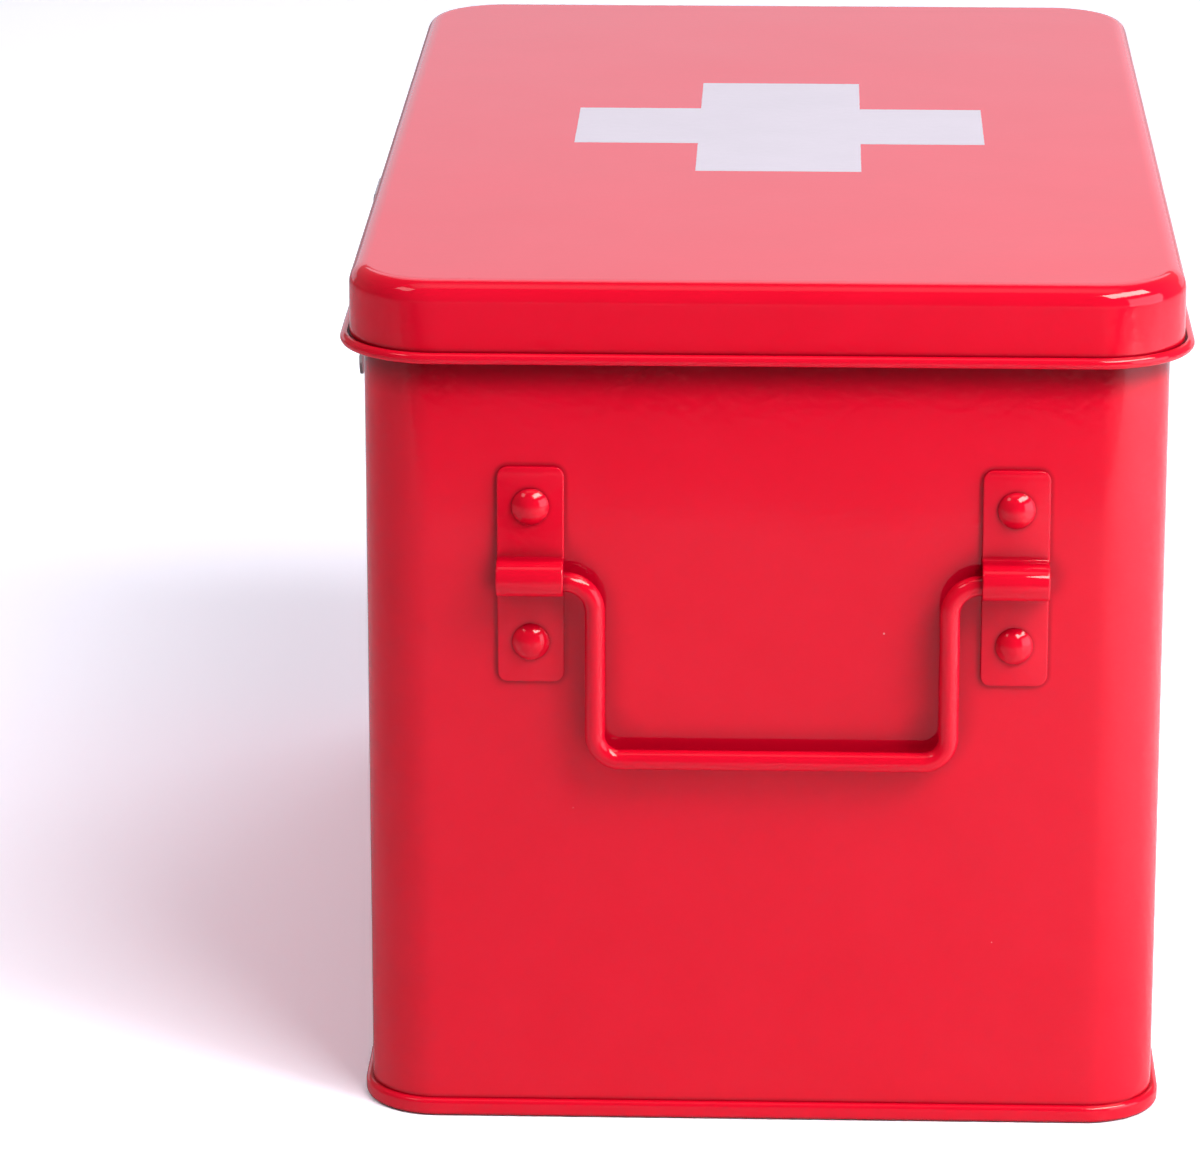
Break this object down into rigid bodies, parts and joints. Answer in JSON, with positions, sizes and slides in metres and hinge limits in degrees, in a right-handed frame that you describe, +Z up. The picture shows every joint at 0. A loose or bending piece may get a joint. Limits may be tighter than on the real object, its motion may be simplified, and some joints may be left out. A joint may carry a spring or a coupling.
{
  "type": "storage tin with hinged lid",
  "caption": "Rectangular sheet steel storage tin with rounded corners, an overlapping hinged lid with a rolled bead, wire drop handles on its ends and a draw latch in front.",
  "frame": {"origin": "on the plane the tin stands on, at the centre of its body walls", "axes": "+Z up, +X along the length, -Y towards the latch, +Y towards the hinges"},
  "size_m": [0.3384, 0.2054, 0.205],
  "materials": {
    "red_enamel": "gloss",
    "nickel_plate": "polished",
    "rim_wire": "plain"
  },
  "bodies": {
    "box": {"body_shell": "red_enamel", "base_panel": "red_enamel", "near_strap_front": "red_enamel", "near_strap_back": "red_enamel", "far_strap_front": "red_enamel", "far_strap_back": "red_enamel", "near_strap_rivets": "red_enamel", "far_strap_rivets": "red_enamel", "near_hinge_body_leaf": "nickel_plate", "far_hinge_body_leaf": "nickel_plate", "near_hinge_pin": "nickel_plate", "far_hinge_pin": "nickel_plate", "hinge_body_rivets": "nickel_plate", "latch_base": "nickel_plate", "latch_base_rivets": "nickel_plate", "latch_pivot_pin": "nickel_plate"},
    "lid": {"lid_shell": "red_enamel", "lid_rim_wire": "rim_wire", "near_hinge_lid_leaf": "nickel_plate", "far_hinge_lid_leaf": "nickel_plate", "hinge_lid_rivets": "nickel_plate", "latch_keeper": "nickel_plate", "latch_keeper_rivets": "nickel_plate"},
    "near_handle": {"near_handle": "red_enamel"},
    "far_handle": {"far_handle": "red_enamel"},
    "latch_lever": {"latch_lever": "nickel_plate"},
    "latch_bail": {"latch_bail": "nickel_plate"}
  },
  "joints": [
    {"name": "lid_hinge", "type": "hinge", "parent": "box", "child": "lid", "pos_m": [0, 0.09775, 0.1834], "axis": [-1, 0, 0], "range_deg": [0, 110]},
    {"name": "near_handle_swing", "type": "hinge", "parent": "box", "child": "near_handle", "pos_m": [0.165, 0.002, 0.1344], "axis": [0, -1, 0], "range_deg": [0, 180]},
    {"name": "far_handle_swing", "type": "hinge", "parent": "box", "child": "far_handle", "pos_m": [-0.165, 0.002, 0.1344], "axis": [0, 1, 0], "range_deg": [0, 180]},
    {"name": "latch_lever_pivot", "type": "hinge", "parent": "box", "child": "latch_lever", "pos_m": [0, -0.1008, 0.167], "axis": [-1, 0, 0], "range_deg": [0, 150]},
    {"name": "latch_bail_pivot", "type": "hinge", "parent": "latch_lever", "child": "latch_bail", "pos_m": [0, -0.1002, 0.159], "axis": [-1, 0, 0], "range_deg": [-150, 0]}
  ],
  "couplings": [
    {"joint": "latch_bail_pivot", "follows": "latch_lever_pivot", "ratio": -1}
  ]
}
